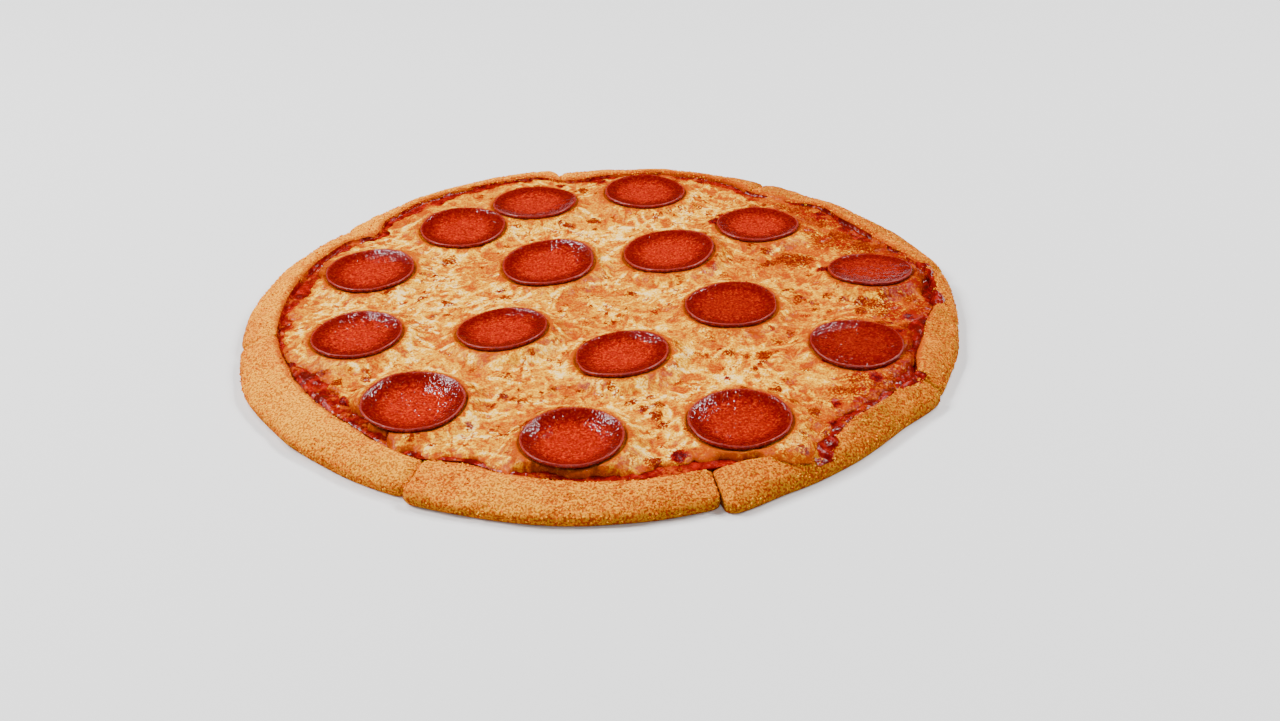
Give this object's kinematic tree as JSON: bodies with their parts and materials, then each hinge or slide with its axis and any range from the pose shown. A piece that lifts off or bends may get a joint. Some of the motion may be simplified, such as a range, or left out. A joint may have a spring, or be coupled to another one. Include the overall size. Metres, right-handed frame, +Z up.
{
  "type": "pan pizza",
  "caption": "Round pepperoni pizza, cut into slices that still lie together: bready browned rim, red sauce, melted cheese and cupped pepperoni. It rests flat on its underside.",
  "frame": {"origin": "centre of the round underside, where the cuts meet, on the surface that the pizza rests on", "axes": "+Z is up, out of the cheese, and the whole lies flat in X and Y; -Y is the side nearest to the camera in the picture and +X its right-hand side"},
  "size_m": [0.3059, 0.3066, 0.0158],
  "materials": {
    "crust": "baked dough, matte, golden with browned patches and coarse meal",
    "sauce": "cooked tomato sauce, wet and dark red",
    "cheese": "melted cheese, oily, cream and yellow with toasted spots",
    "pepperoni": "cured sausage, oily, red with a darker rim"
  },
  "bodies": {
    "root": {"crust_slice_1": "crust", "crust_slice_2": "crust", "crust_slice_3": "crust", "crust_slice_4": "crust", "crust_slice_5": "crust", "crust_slice_6": "crust", "crust_slice_7": "crust", "crust_slice_8": "crust", "sauce": "sauce", "cheese": "cheese", "pepperoni_01": "pepperoni", "pepperoni_02": "pepperoni", "pepperoni_03": "pepperoni", "pepperoni_04": "pepperoni", "pepperoni_05": "pepperoni", "pepperoni_06": "pepperoni", "pepperoni_07": "pepperoni", "pepperoni_08": "pepperoni", "pepperoni_09": "pepperoni", "pepperoni_10": "pepperoni", "pepperoni_11": "pepperoni", "pepperoni_12": "pepperoni", "pepperoni_13": "pepperoni", "pepperoni_14": "pepperoni", "pepperoni_15": "pepperoni", "pepperoni_16": "pepperoni"}
  },
  "joints": []
}
